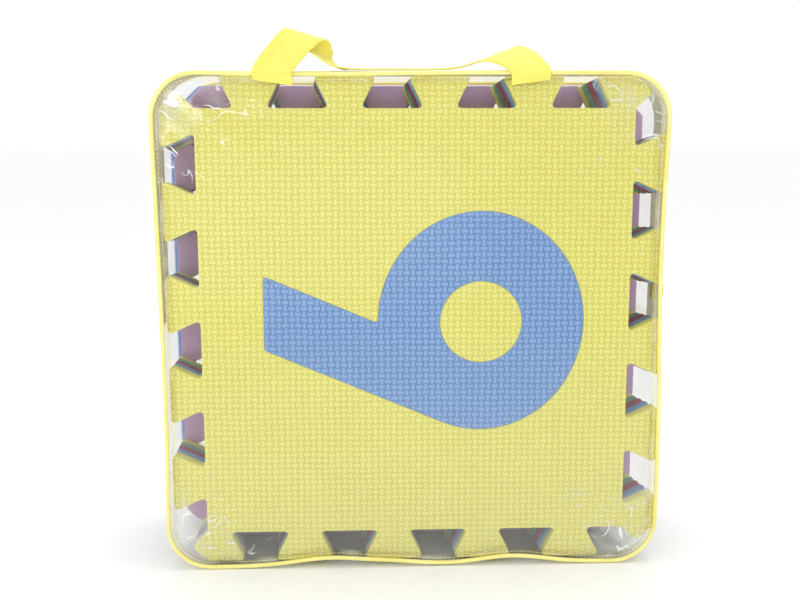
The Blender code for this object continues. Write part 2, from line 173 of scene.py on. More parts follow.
class Graph:
    """Short names for the nodes of one material."""

    def __init__(self, name):
        self.mat = bpy.data.materials.new(name)
        self.mat.use_nodes = True
        self.tree = self.mat.node_tree
        self.nodes = self.tree.nodes
        self.shader = self.nodes["Principled BSDF"]
        self.out = self.nodes["Material Output"]

    def node(self, kind, **inputs):
        made = self.nodes.new(kind)
        for key, value in inputs.items():
            self.put(made.inputs[key.replace("_", " ")], value)
        return made

    def put(self, socket, value):
        if isinstance(value, bpy.types.NodeSocket):
            self.tree.links.new(value, socket)
        else:
            socket.default_value = value

    def math(self, operation, *values, clamp=False):
        made = self.nodes.new("ShaderNodeMath")
        made.operation = operation
        made.use_clamp = clamp
        for socket, value in zip(made.inputs, values):
            self.put(socket, value)
        return made.outputs[0]

    def axes(self, source="Object"):
        """The three coordinates of a place on the object."""
        place = self.nodes.new("ShaderNodeTexCoord").outputs[source]
        split = self.node("ShaderNodeSeparateXYZ", Vector=place)
        return place, split.outputs

    def noise(self, place, scale, detail=2.0, roughness=0.5, distortion=0.0):
        made = self.node("ShaderNodeTexNoise", Vector=place, Scale=scale, Detail=detail)
        made.inputs["Roughness"].default_value = roughness
        made.inputs["Distortion"].default_value = distortion
        return made.outputs["Fac"]

    def remap(self, value, low, high, to_low=0.0, to_high=1.0):
        made = self.nodes.new("ShaderNodeMapRange")
        keys = ("From Min", "From Max", "To Min", "To Max")
        for key, number in zip(keys, (low, high, to_low, to_high)):
            self.put(made.inputs[key], number)
        self.put(made.inputs["Value"], value)
        return made.outputs["Result"]

    def mix(self, factor, a, b):
        made = self.nodes.new("ShaderNodeMix")
        made.data_type = "RGBA"
        self.put(made.inputs["Factor"], factor)
        self.put(made.inputs[MIX_A], (*a, 1) if isinstance(a, tuple) else a)
        self.put(made.inputs[MIX_B], (*b, 1) if isinstance(b, tuple) else b)
        return made.outputs[MIX_OUT]

    def bump(self, height, distance, strength=1.0, normal=None):
        made = self.node("ShaderNodeBump", Height=height, Distance=distance, Strength=strength)
        if normal is not None:
            self.put(made.inputs["Normal"], normal)
        return made.outputs["Normal"]

    def blend(self, factor, a, b):
        """Mix two shaders."""
        made = self.nodes.new("ShaderNodeMixShader")
        for socket, value in zip(made.inputs, (factor, a, b)):
            self.put(socket, value)
        return made.outputs[0]

    def see_through(self, tint, solid, skin):
        """End the graph with a skin over clear film; solid is the skin's share."""
        clear = self.node("ShaderNodeBsdfTransparent", Color=(*tint, 1))
        self.put(self.out.inputs["Surface"], self.blend(solid, clear.outputs[0], skin))
        return self.mat

    def surface(self, colour=None, roughness=None, normal=None, **plain):
        if colour is not None:
            self.put(self.shader.inputs["Base Color"], colour)
        if roughness is not None:
            self.put(self.shader.inputs["Roughness"], roughness)
        if normal is not None:
            self.put(self.shader.inputs["Normal"], normal)
        for key, value in plain.items():
            self.shader.inputs[key.replace("_", " ")].default_value = value
        return self.mat


def weave_height(g, x, z):
    """Basket weave: weft bars and warp ribs that pass over each other."""
    u = g.math("DIVIDE", x, WEAVE_X)
    v = g.math("DIVIDE", z, WEAVE_Z)
    checker = g.math("MULTIPLY", g.math("SINE", g.math("MULTIPLY", u, math.pi)),
                     g.math("SINE", g.math("MULTIPLY", v, math.pi)))
    over = g.remap(checker, -0.28, 0.28)
    under = g.math("SUBTRACT", 1.0, over)
    across_u = g.math("ABSOLUTE", g.math("SUBTRACT", g.math("FRACT", u), 0.5))
    across_v = g.math("ABSOLUTE", g.math("SUBTRACT", g.math("FRACT", v), 0.5))
    rib = g.remap(across_u, 0.36, 0.14)
    bar = g.remap(across_v, 0.40, 0.18)
    weft = g.math("MULTIPLY", bar, g.math("ADD", g.math("MULTIPLY", over, 0.85), 0.15))
    warp = g.math("MULTIPLY", rib, g.math("ADD", g.math("MULTIPLY", under, 0.75), 0.15))
    return g.math("MAXIMUM", weft, warp)


def foam_face(colour):
    """Embossed face of a mat."""
    g = Graph(f"foam_{colour}_face")
    high, low = FOAM[colour]
    place, (x, _, z) = g.axes()
    wobble = g.remap(g.noise(place, 45, 1.0), 0.3, 0.7, -0.35 * MM, 0.35 * MM)
    weave = weave_height(g, g.math("ADD", x, wobble), g.math("ADD", z, wobble))
    blotch = g.remap(g.noise(place, 9, 3.0), 0.3, 0.7)
    grain = g.noise(place, 900, 2.0)
    tone = g.mix(g.math("MULTIPLY", blotch, 0.3), high, tuple(c * 0.90 for c in high))
    # Painted shade: the weave's low places take the darker foam colour, as if less light reached
    # them
    colour_out = g.mix(g.remap(weave, 0.15, 0.75), low, tone)
    rough = g.remap(grain, 0.3, 0.7, 0.48, 0.64)
    fine = g.bump(grain, 0.05 * MM, 0.5)
    normal = g.bump(weave, 0.5 * MM, 1.0, fine)
    return g.surface(colour_out, rough, normal, Sheen_Weight=0.12, Specular_IOR_Level=0.35)


def foam_edge(colour):
    """Knife-cut side and plain back of a mat: fine closed cells."""
    g = Graph(f"foam_{colour}_edge")
    high, low = FOAM[colour]
    place, _ = g.axes()
    cells = g.node("ShaderNodeTexVoronoi", Vector=place, Scale=1500.0).outputs["Distance"]
    blotch = g.remap(g.noise(place, 14, 3.0), 0.3, 0.7)
    scuff = g.remap(g.noise(place, 160, 4.0, 0.7), 0.45, 0.75)
    base = g.mix(blotch, tuple(0.5 * a + 0.5 * b for a, b in zip(high, low)), high)
    pale = tuple(min(1.0, c * 1.12) for c in high)
    colour_out = g.mix(g.math("MULTIPLY", scuff, 0.4), base, pale)
    normal = g.bump(cells, 0.08 * MM, 0.45)
    return g.surface(colour_out, g.remap(cells, 0.0, 0.6, 0.6, 0.75), normal,
                     Sheen_Weight=0.1, Specular_IOR_Level=0.3)


def film(name, haze=0.004, tint=(0.985, 0.985, 0.98), painted_light=0.0, glow=0.0):
    """Clear vinyl: see-through, with a glossy skin and painted highlights on its creases.

    A strength argument adds painted glints along its creases, whitish painted
    highlights in its crumpled corners and a painted reflection of the floor that
    whitens it a little towards the bottom.  With glow the hazy share lets light
    through, instead of only reflecting it.
    """
    g = Graph(name)
    place, (x, _, z) = g.axes()
    ripple = g.noise(place, 22, 3.0, 0.6, 0.6)
    far_x = g.remap(g.math("ABSOLUTE", g.math("SUBTRACT", x, BAG_X)), 0.085, 0.165)
    far_z = g.remap(g.math("ABSOLUTE", g.math("SUBTRACT", z, CENTRE_Z)), 0.085, 0.160)
    corner = g.math("MULTIPLY", far_x, far_z)
    # Painted highlights: thin glint strokes along crease lines and whitish clouds, both towards the
    # corners
    ridge = g.math("ABSOLUTE", g.math("SUBTRACT", g.noise(place, 26, 1.0, 0.5, 2.4), 0.5))
    line = g.remap(ridge, 0.004, 0.016, 1.0, 0.0)
    broken = g.remap(g.noise(place, 75, 1.0), 0.50, 0.60)
    stroke = g.math("MULTIPLY", g.math("MULTIPLY", line, broken), g.remap(corner, 0.05, 0.45))
    cloud = g.math("MULTIPLY", g.remap(g.noise(place, 40, 3.0, 0.6, 1.2), 0.42, 0.72),
                   g.remap(corner, 0.25, 0.9))
    painted_highlights = g.math("ADD", g.math("MULTIPLY", stroke, 0.7 * painted_light),
                   g.math("MULTIPLY", cloud, 0.42 * painted_light))
    facing = g.node("ShaderNodeLayerWeight", Blend=0.5).outputs["Facing"]
    coat = g.math("ADD", g.math("MULTIPLY", g.math("POWER", facing, 4.0), 0.6), 0.006)
    # Painted reflection of the white floor: the film gets whiter towards the bottom
    painted_floor_reflection = g.remap(z, CENTRE_Z, 0.01, 0.0, 0.06 * painted_light)
    solid = g.math("ADD", g.math("ADD", coat, g.math("ADD", painted_floor_reflection, haze)), painted_highlights, clamp=True)
    normal = g.bump(ripple, 1.6 * MM, 0.55)
    colour = g.mix(g.remap(ripple, 0.3, 0.7), (0.88, 0.90, 0.90), (0.96, 0.97, 0.97))
    g.surface(colour, g.remap(ripple, 0.3, 0.7, 0.10, 0.2), normal, Metallic=0.0 if glow else 0.6)
    skin = g.shader.outputs[0]
    if glow:
        lit = g.node("ShaderNodeBsdfTranslucent", Color=colour)
        skin = g.blend(glow, skin, lit.outputs[0])
    return g.see_through(tint, solid, skin)


def flange_film():
    """The piping's seam allowance: milky yellow vinyl over the clear film."""
    g = Graph("flange_film")
    place, _ = g.axes()
    streak = g.noise(place, 60, 3.0, 0.6, 0.8)
    solid = g.remap(streak, 0.42, 0.72, 0.02, 0.2)
    colour = g.mix(g.remap(streak, 0.3, 0.7), (0.86, 0.84, 0.60), (0.94, 0.93, 0.80))
    g.surface(colour, g.remap(streak, 0.3, 0.7, 0.14, 0.28), g.bump(streak, 0.8 * MM, 0.6))
    return g.see_through((0.98, 0.97, 0.92), solid, g.shader.outputs[0])


def piping_vinyl():
    """Yellow covering of the piping cord."""
    g = Graph("piping_vinyl")
    place, _ = g.axes()
    soft = g.noise(place, 35, 3.0)
    grain = g.noise(place, 700, 2.0)
    colour = g.mix(g.remap(soft, 0.3, 0.7), (0.78, 0.70, 0.20), (0.90, 0.83, 0.30))
    normal = g.bump(grain, 0.05 * MM, 0.5, g.bump(soft, 0.7 * MM, 0.5))
    return g.surface(colour, g.remap(grain, 0.3, 0.7, 0.28, 0.42), normal,
                     Coat_Weight=0.25, Coat_Roughness=0.2)


def webbing():
    """Ribbed webbing: a rib across the strap for every weft, fine warp along it."""
    g = Graph("webbing")
    place, _ = g.axes()
    _, (across, along, _) = g.axes("UV")
    rib = g.math("SINE", g.math("MULTIPLY", along, 2 * math.pi / WEFT_PITCH))
    rib = g.remap(rib, -1.0, 1.0)
    warp = g.math("SINE", g.math("MULTIPLY", across, 2 * math.pi / WARP_PITCH))
    warp = g.remap(warp, -1.0, 1.0)
    edge = g.remap(g.math("ABSOLUTE", across), 11.2 * MM, 12.2 * MM)
    weave = g.math("ADD", g.math("MULTIPLY", rib, 0.75), g.math("MULTIPLY", warp, 0.25))
    fuzz = g.noise(place, 1200, 2.0)
    blotch = g.remap(g.noise(place, 40, 2.0), 0.3, 0.7)
    base = g.mix(blotch, (0.93, 0.86, 0.15), (0.96, 0.90, 0.20))
    shade = g.mix(g.remap(weave, 0.05, 0.55), (0.80, 0.66, 0.06), base)
    shade = g.mix(g.math("MULTIPLY", edge, 0.35), shade, (0.86, 0.74, 0.09))
    normal = g.bump(fuzz, 0.05 * MM, 0.4, g.bump(weave, 0.28 * MM, 0.9))
    return g.surface(shade, g.remap(fuzz, 0.3, 0.7, 0.5, 0.7), normal, Sheen_Weight=0.35,
                     Sheen_Roughness=0.4)


def zip_fabric():
    """Herringbone tape of the zip."""
    g = Graph("zip_fabric")
    place, (x, y, z) = g.axes()
    column = g.math("FRACT", g.math("DIVIDE", y, TWILL_W))
    zigzag = g.math("ABSOLUTE", g.math("SUBTRACT", column, 0.5))
    run = g.math("ADD", g.math("ADD", x, z), g.math("MULTIPLY", zigzag, TWILL_W))
    twill = g.math("SINE", g.math("MULTIPLY", run, 2 * math.pi / TWILL_PITCH))
    twill = g.remap(twill, -1.0, 1.0)
    fuzz = g.noise(place, 900, 2.0)
    colour = g.mix(twill, (0.80, 0.79, 0.66), (0.93, 0.92, 0.82))
    normal = g.bump(fuzz, 0.04 * MM, 0.4, g.bump(twill, 0.15 * MM, 0.8))
    g.surface(colour, g.remap(fuzz, 0.3, 0.7, 0.6, 0.8), normal, Sheen_Weight=0.3)
    thin = g.node("ShaderNodeBsdfTranslucent", Color=colour)
    cloth = g.blend(0.5, g.shader.outputs[0], thin.outputs[0])
    g.put(g.out.inputs["Surface"], cloth)
    return g.mat


def nylon():
    """Yellow nylon of the zip's coils."""
    g = Graph("nylon_coil")
    place, _ = g.axes()
    soft = g.noise(place, 300, 2.0)
    colour = g.mix(g.remap(soft, 0.3, 0.7), (0.80, 0.72, 0.17), (0.92, 0.85, 0.28))
    return g.surface(colour, g.remap(soft, 0.3, 0.7, 0.3, 0.45), g.bump(soft, 0.05 * MM, 0.4),
                     Coat_Weight=0.15)


def enamel():
    """Painted zinc of the slider, pull and stops, worn through in patches."""
    g = Graph("enamel")
    place, _ = g.axes()
    peel = g.noise(place, 500, 2.0)
    wear = g.remap(g.noise(place, 260, 4.0, 0.7), 0.60, 0.68)
    colour = g.mix(g.math("MULTIPLY", wear, 0.6), (0.88, 0.76, 0.09), (0.62, 0.60, 0.52))
    return g.surface(colour, g.remap(peel, 0.3, 0.7, 0.22, 0.36), g.bump(peel, 0.04 * MM, 0.5),
                     Coat_Weight=0.3, Coat_Roughness=0.12)


def thread():
    """Plied thread of the seams."""
    g = Graph("sewing_thread")
    place, _ = g.axes()
    ply = g.noise(place, 1800, 2.0)
    colour = g.mix(g.remap(ply, 0.3, 0.7), (0.78, 0.70, 0.20), (0.93, 0.87, 0.42))
    return g.surface(colour, g.remap(ply, 0.3, 0.7, 0.5, 0.7), g.bump(ply, 0.06 * MM, 0.6),
                     Sheen_Weight=0.3)


def floor_paper():
    """White paper under the bag."""
    g = Graph("floor_paper")
    place, _ = g.axes()
    fibre = g.noise(place, 120, 4.0)
    colour = g.mix(g.remap(fibre, 0.3, 0.7), (0.93, 0.93, 0.93), (0.96, 0.96, 0.96))
    return g.surface(colour, g.remap(fibre, 0.3, 0.7, 0.75, 0.85), g.bump(fibre, 0.05 * MM, 0.2))


# ------------------------------------------------------------------- geometry

def link(name, bm, materials, body="root", smooth_angle=None):
    """Make the object, keep it on its body and give it its materials."""
    mesh = bpy.data.meshes.new(name)
    bm.to_mesh(mesh)
    bm.free()
    for mat in materials:
        mesh.materials.append(mat)
    if smooth_angle:
        mesh.shade_smooth()
        mesh.set_sharp_from_angle(angle=math.radians(smooth_angle))
    obj = bpy.data.objects.new(name, mesh)
    bpy.context.scene.collection.objects.link(obj)
    if body:
        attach(obj, body)
    return obj


def join_rings(bm, rings):
    """Faces between each ring and the next."""
    for a, b in zip(rings, rings[1:]):
        for i in range(len(a)):
            bm.faces.new((a[i - 1], a[i], b[i], b[i - 1]))


def close_ends(bm, rings):
    """Faces over the first and the last ring."""
    bm.faces.new(rings[0])
    bm.faces.new(rings[-1][::-1])


def face_outwards(bm):
    bmesh.ops.recalc_face_normals(bm, faces=bm.faces)
    if bm.calc_volume(signed=True) < 0:
        bmesh.ops.reverse_faces(bm, faces=bm.faces)


def turned(points, turns):
    """Turn points clockwise by quarter turns."""
    for _ in range(turns % 4):
        points = [(y, -x) for x, y in points]
    return points


def rounded(loop, radius, steps=4):
    """Round each sharp corner of a closed loop with a short curve."""
    made = []
    for i, here in enumerate(loop):
        p = Vector(here)
        back, ahead = Vector(loop[i - 1]) - p, Vector(loop[(i + 1) % len(loop)]) - p
        turn = math.pi - back.angle(ahead)
        if turn < math.radians(20):
            made.append(here)
            continue
        cut = min(radius * math.tan(turn / 2), 0.45 * back.length, 0.45 * ahead.length)
        a, b = p + back.normalized() * cut, p + ahead.normalized() * cut
        for step in range(steps + 1):
            t = step / steps
            made.append(tuple(a * (1 - t) ** 2 + p * (2 * t * (1 - t)) + b * t ** 2))
    return made


def offset_loop(loop, distance):
    """Move an anticlockwise loop outwards, or inwards if negative."""
    moved = []
    for i, here in enumerate(loop):
        before, after = loop[i - 1], loop[(i + 1) % len(loop)]
        a = (Vector(here) - Vector(before)).normalized()
        b = (Vector(after) - Vector(here)).normalized()
        normal = Vector((a.y + b.y, -a.x - b.x)).normalized()
        share = max(0.5, normal.dot(Vector((a.y, -a.x))))
        moved.append((here[0] + normal.x * distance / share, here[1] + normal.y * distance / share))
    return moved


def side_points():
    """One side of a mat, left to right along the top."""
    half, step = PITCH / 2, PITCH / TEETH
    base, tip = half - FLANK, half + FLANK
    points = [(-half, half), (-base, base)]
    for tooth in range(TEETH):
        middle = -half + step * (tooth + 0.75)
        points += [(middle - TOOTH / 2, base), (middle - TOOTH, tip)]
        if tooth < TEETH - 1:
            points += [(middle + TOOTH, tip), (middle + TOOTH / 2, base)]
        else:
            points += [(base, tip)]
    return points


def mat_outline():
    """The whole edge of a mat, anticlockwise."""
    side = side_points()
    outline = [point for turn in range(4) for point in turned(side, turn)]
    return rounded(outline[::-1], TOOTH_ROUND)


def arc(centre, radii, start, end):
    """Part of an ellipse, from one angle in degrees to another."""
    count = max(2, round(abs(end - start) / 180 * ARC_STEPS))
    angles = [math.radians(start + (end - start) * i / count) for i in range(count + 1)]
    return [(centre[0] + radii[0] * math.cos(a), centre[1] + radii[1] * math.sin(a))
            for a in angles]


def in_mm(points):
    return [(x * MM, y * MM) for x, y in points]


def nine():
    """Bowl with a straight leg that leaves its right side as a tangent."""
    bowl = (NUMERAL_W / 2, BOWL_L / 2)
    centre = (0.0, (NUMERAL_L - BOWL_L) / 2)
    foot = -NUMERAL_L / 2
    nx, ny = math.cos(LEG_TILT), -math.sin(LEG_TILT)
    reach = math.hypot(bowl[0] * nx, bowl[1] * ny)
    start = math.degrees(math.atan2(bowl[1] * ny, bowl[0] * nx))
    inner = reach - LEG_W
    end = start + 360 - math.degrees(math.acos(inner / reach))

    def foot_x(distance):
        return (distance - ny * (foot - centre[1])) / nx

    outline = arc(centre, bowl, start, end)
    outline += [(foot_x(inner), foot), (foot_x(reach), foot)]
    hole = arc(centre, (COUNTER_R, COUNTER_R), 0, 360)[:-1]
    dx, dy = NINE_MIDDLE
    outline, hole = ([(x + dx, y + dy) for x, y in loop] for loop in (outline, hole))
    return outline, [hole]


def numeral_loops(digit):
    """Outline and counters of a numeral, anticlockwise.  Its shapes are in mm."""
    upper, lower = (0, 49.5), (0, -43)
    if digit == "9":
        return nine()
    if digit == "6":
        outline, counters = nine()
        return turned(outline, 2), [turned(loop, 2) for loop in counters]
    if digit == "0":
        outline = arc((0, 0), (71, 103.5), 0, 360)[:-1]
        return in_mm(outline), [in_mm(arc((0, 0), (27, 58), 0, 360)[:-1])]
    if digit == "8":
        outline = arc(upper, (60, 54), -40, 220) + arc(lower, (71, 60.5), 130, 410)
        counters = [arc(upper, (19, 17), 0, 360)[:-1], arc(lower, (25, 19), 0, 360)[:-1]]
        return in_mm(outline), [in_mm(loop) for loop in counters]
    if digit == "3":
        outline = arc(lower, (71, 60.5), -160, 50) + arc(upper, (60, 54), -40, 160)
        outline += arc(upper, (18, 14), 160, -90) + [(-20, 35.5), (-20, -23)]
        outline += arc(lower, (27, 20), 90, -160)
        return in_mm(outline), []
    if digit == "5":
        outline = arc((0, -36), (71, 67.5), -155, 108)
        outline += [(-16, 62), (62, 62), (62, 103.5), (-58, 103.5), (-64, -6)]
        outline += arc((0, -36), (28, 26), 125, -155)
        return in_mm(outline), []
    if digit == "2":
        outline = [(-71, -103.5), (71, -103.5), (71, -62), (8, -62)]
        outline += arc((0, 40), (71, 63.5), -25, 172) + arc((0, 40), (27, 22), 172, -25)
        outline += [(-71, -70)]
        return in_mm(outline), []
    if digit == "4":
        outline = [(-71, -68), (-7, -68), (-7, -103.5), (38, -103.5), (38, -68), (66, -68)]
        outline += [(66, -26), (38, -26), (38, 103.5), (-10, 103.5), (-71, -30)]
        return in_mm(outline), [in_mm([(-40, -27), (-8, -27), (-8, 42)])]
    if digit == "7":
        outline = [(-42, -103.5), (6, -103.5), (71, 66), (71, 103.5), (-71, 103.5)]
        outline += [(-71, 60), (20, 60)]
        return in_mm(outline), []
    outline = [(-5, -103.5), (40, -103.5), (40, 103.5), (4, 103.5)]
    outline += [(-45, 72), (-45, 24), (-5, 48)]
    return in_mm(outline), []


def foam_plate(loops, place):
    """A foam plate with softly rounded rims; the first loop is the outside.

    Faces of the embossed side have material 0, all others material 1.
    """
    bm = bmesh.new()
    turn = 1 - math.sqrt(0.5)
    levels = ((RIM, 0), (RIM * turn, RIM * turn), (0, RIM))
    stations = [(inset, depth) for inset, depth in levels]
    stations += [(inset, MAT_T - depth) for inset, depth in reversed(levels)]
    fronts, backs = [], []
    for number, loop in enumerate(loops):
        sign = -1 if number == 0 else 1
        rings = []
        for inset, depth in stations:
            ring = [bm.verts.new((x, y, depth)) for x, y in offset_loop(loop, sign * inset)]
            rings.append(ring)
        for a, b in zip(rings, rings[1:]):
            for i in range(len(loop)):
                face = bm.faces.new((a[i - 1], a[i], b[i], b[i - 1]))
                face.material_index = 1
                face.smooth = True
        first, last = rings[0], rings[-1]
        fronts += [bm.edges.get((first[i - 1], first[i])) for i in range(len(loop))]
        backs += [bm.edges.get((last[i - 1], last[i])) for i in range(len(loop))]
    for index, edges in enumerate((fronts, backs)):
        made = bmesh.ops.triangle_fill(bm, use_beauty=True, use_dissolve=False, edges=edges)
        for face in made["geom"]:
            if isinstance(face, bmesh.types.BMFace):
                face.material_index = index
    for vert in bm.verts:
        vert.co = place(vert.co)
    face_outwards(bm)
    return bm


def mat_placer(index):
    """How a point of a mat goes into the world; its embossed side is at depth 0."""
    flipped = index >= FIRST_FLIPPED
    front_y = FIRST_MAT[0][1] + index * (MAT_T + MAT_GAP)
    shift_x, shift_z = -LEAN_STEP * index, -DROP_STEP * index
    if flipped:
        shift_x, shift_z = (shift * MM for shift in FLIPPED_PLACES[index - FIRST_FLIPPED])
    middle_x = BAG_X + FRONT_X + shift_x
    middle_z = CENTRE_Z + FRONT_Z + shift_z
    stretch = SIDE_STRETCH if index else FRONT_STRETCH

    def place(point):
        tooth_reach = max(0.0, abs(point.x) - PITCH / 2 + FLANK)
        x = point.x + math.copysign(tooth_reach * stretch, point.x)
        if flipped:
            return Vector((middle_x - x, front_y + MAT_T - point.z, middle_z + point.y))
        return Vector((middle_x + x, front_y + point.z, middle_z + point.y))

    return place


def make_foam(name, node, loops, place, colour, foam):
    """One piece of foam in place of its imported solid."""
    piece = link(name, foam_plate(loops, place), foam[colour])
    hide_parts(node)


def make_mat(index, colour, digit, digit_colour, turns, foam):
    """A mat, its numeral and the numeral's counters."""
    outline, counters = numeral_loops(digit)
    outline = turned(rounded(outline, NUMERAL_ROUND), turns)
    counters = [turned(rounded(loop, NUMERAL_ROUND), turns) for loop in counters]
    place = mat_placer(index)
    node = f"mat_{index + 1:02d}_{colour}"
    sheet = [mat_outline(), offset_loop(outline, CUT)]
    make_foam(f"foam_{node}", node, sheet, place, colour, foam)
    node = f"numeral_{digit}"
    make_foam(f"foam_{node}", node, [outline, *counters], place, digit_colour, foam)
    for loop, part in zip(counters, ("", "_lower")):
        node = f"counter_{digit}{part}"
        make_foam(f"foam_{node}", node, [offset_loop(loop, -CUT)], place, colour, foam)


# ------------------------------------------------------------------- the bag

# Where the front piping is pulled out of its true outline: the middle of the
# place in mm from the bag's middle, its half width, and the pull inwards.
FRONT_PULLS = (
    ((-54, -162), 34, 5.2),
    ((-10, -162), 22, 1.6),
    ((68, -162), 30, 4.6),
    ((162, 70), 70, 2.2),
    ((162, 10), 60, 1.2),
    ((-164, 30), 80, 1.6),
    ((-164, -70), 70, 1.8),
    ((-60, 162), 60, 1.0),
)
BACK_PULLS = (
    ((40, -162), 40, 3.5),
    ((-162, -40), 60, 2.6),
    ((163, 50), 60, 2.2),
)


def pull(x, z, pulls):
    """How far a point on the edge is pulled towards the middle."""
    shift = Vector((0.0, 0.0))
    for (px, pz), half, depth in pulls:
        away = math.hypot(x - px * MM, z - pz * MM) / (half * MM)
        inward = Vector((-px, -pz))
        inward = Vector((inward.x, 0)) if abs(px) > abs(pz) else Vector((0, inward.y))
        shift += inward.normalized() * depth * MM * math.exp(-away * away)
    return shift


def smoothstep(value, low, high):
    """Ease from 0 at low to 1 at high."""
    t = min(1.0, max(0.0, (value - low) / (high - low)))
    return t * t * (3 - 2 * t)


def outline_path(step=PATH_STEP, start_z=None):
    """Bag outline as (x, z) points from its middle with outward directions.

    Anticlockwise from the right side.  With start_z, only the upper part.
    """
    inner_x, inner_z = HALF_X - CORNER_R, HALF_Z - CORNER_R
    path = []
    corner_steps = max(6, round(CORNER_R * math.pi / 2 / step))
    for quarter, (sx, sz) in enumerate(((1, 1), (-1, 1), (-1, -1), (1, -1))):
        for i in range(corner_steps + 1):
            angle = math.pi / 2 * (quarter + i / corner_steps)
            normal = Vector((math.cos(angle), math.sin(angle)))
            path.append((Vector((sx * inner_x, sz * inner_z)) + normal * CORNER_R, normal))
        run = 2 * (inner_x if quarter % 2 == 0 else inner_z)
        count = round(run / step)
        along = Vector((-normal.y, normal.x))
        corner = path[-1][0].copy()
        for i in range(1, count):
            path.append((corner + along * run * i / count, normal))
    if start_z is None:
        return path
    upper = [pair for pair in path if pair[0].y > start_z + step / 2]
    left = [pair for pair in upper if pair[0].x < 0 and pair[1].x < -0.999]
    first = (Vector((HALF_X, start_z)), Vector((1, 0)))
    last = (Vector((-HALF_X, start_z)), Vector((-1, 0)))
    rising = [pair for pair in upper if pair[0].x > 0 and pair[1].x > 0.999]
    rest = [pair for pair in upper if pair not in left and pair not in rising]
    rising.sort(key=lambda pair: pair[0].y)
    left.sort(key=lambda pair: -pair[0].y)
    return [first, *rising, *rest, *left, last]


def bag_point(x, y, z, front, back):
    """A place on the bag with the pulls of its front and back edges."""
    forward = smoothstep(-y, 0.044, 0.053)
    backward = smoothstep(y, 0.0, 0.05)
    shift = pull(x, z, front) * forward + pull(x, z, back) * backward
    return Vector((BAG_X + x + shift.x, y, CENTRE_Z + z + shift.y))


def plain_spot(x, y, z, _outward):
    return bag_point(x, y, z, FRONT_PULLS, BACK_PULLS)


def sweep(path, profile, closed, spot=plain_spot):
    """Carry a closed profile of (outward, y) points along the outline."""
    bm = bmesh.new()
    rings = []
    for point, normal in path:
        ring = []
        for outward, y in profile:
            place = point + normal * outward
            ring.append(bm.verts.new(spot(place.x, y, place.y, outward)))
        rings.append(ring)
    join_rings(bm, rings + rings[:1] if closed else rings)
    if not closed:
        close_ends(bm, rings)
    face_outwards(bm)
    return bm


def make_cord(name, node, side, vinyl):
    """Round piping cord with the small wrinkle of its covering."""
    sides = 16
    radius = CORD_VISIBLE_R
    profile = []
    for i in range(sides):
        angle = 2 * math.pi * i / sides
        outward, deep = radius * math.cos(angle), radius * math.sin(angle)
        profile.append((outward - radius, side * abs(CORD_Y) + deep))

    def spot(x, y, z, _outward):
        place = bag_point(x, y, z, FRONT_PULLS, BACK_PULLS)
        sway = noise.noise(Vector((x * 14, side * 3.0, z * 14)))
        place.y += side * 0.5 * MM * sway
        return place

    cord = sweep(outline_path(CORD_STEP), profile, True, spot)
    cord = link(name, cord, [vinyl], smooth_angle=50)
    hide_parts(node)


def make_flange(name, side, mat):
    """Seam allowance inside the cord, with a slightly uneven cut edge."""
    y = side * (abs(CORD_Y) - 0.15 * MM)
    inner, outer = -2 * CORD_R - FLANGE_W, -2 * CORD_R + 0.5 * MM
    steps = 4
    front = [(outer + (inner - outer) * i / steps, y - FLANGE_T / 2) for i in range(steps + 1)]
    rear = [(out, y + FLANGE_T / 2) for out, _ in reversed(front)]

    def spot(x, y_in, z, outward):
        place = bag_point(x, y_in, z, FRONT_PULLS, BACK_PULLS)
        share = (outer - outward) / (outer - inner)
        ripple = noise.noise(Vector((x * 60, side * 7.0, z * 60)))
        uneven = noise.noise(Vector((x * 35, side * 9.0, z * 35))) * 1.0 * MM * share
        middle = Vector((BAG_X - place.x, 0, CENTRE_Z - place.z)).normalized()
        place += middle * uneven
        place.y += side * 0.35 * MM * ripple * share
        return place

    piece = sweep(outline_path(CORD_STEP), front + rear, True, spot)
    piece = link(name, piece, [mat], smooth_angle=50)


def make_stitches(name, side, mat):
    """Row of thread stitches through the seam, just inside the cord."""
    bm = bmesh.new()
    path = outline_path(STITCH_STEP)
    inset = 2 * CORD_R + STITCH_INSET
    # Share of the way along, rise out of the seam and share of full thickness
    shape = ((0.15, 0.0, 0.5), (0.4, 1, 1), (0.6, 1, 1), (0.85, 0.0, 0.5))
    for first in range(0, len(path) - 2, 2):
        here, ahead = path[first], path[first + 2]
        rings = []
        for share, rise, size in shape:
            point = here[0].lerp(ahead[0], share)
            normal = here[1].lerp(ahead[1], share).normalized()
            middle = point - normal * inset
            level = side * (abs(CORD_Y) + 0.05 * MM + rise * 0.3 * MM)
            ring = []
            for a in range(6):
                angle = math.pi * a / 3
                flat = middle + normal * (STITCH_R * size * math.cos(angle))
                y = level + STITCH_R * size * math.sin(angle)
                ring.append(bm.verts.new(bag_point(flat.x, y, flat.y, FRONT_PULLS, BACK_PULLS)))
            rings.append(ring)
        join_rings(bm, rings)
        close_ends(bm, rings)
    bmesh.ops.recalc_face_normals(bm, faces=bm.faces)
    row = link(name, bm, [mat], smooth_angle=60)


def squircle(u, v, half_x, half_z, radius):
    """Map a square of -1..1 to a rectangle with round corners."""
    x, z = u * half_x, v * half_z
    a, b = abs(x) - (half_x - radius), abs(z) - (half_z - radius)
    if a > 0 and b > 0:
        na = a * math.sqrt(1 - b * b / (2 * radius * radius))
        nb = b * math.sqrt(1 - a * a / (2 * radius * radius))
        x = math.copysign(half_x - radius + na, x)
        z = math.copysign(half_z - radius + nb, z)
    return x, z


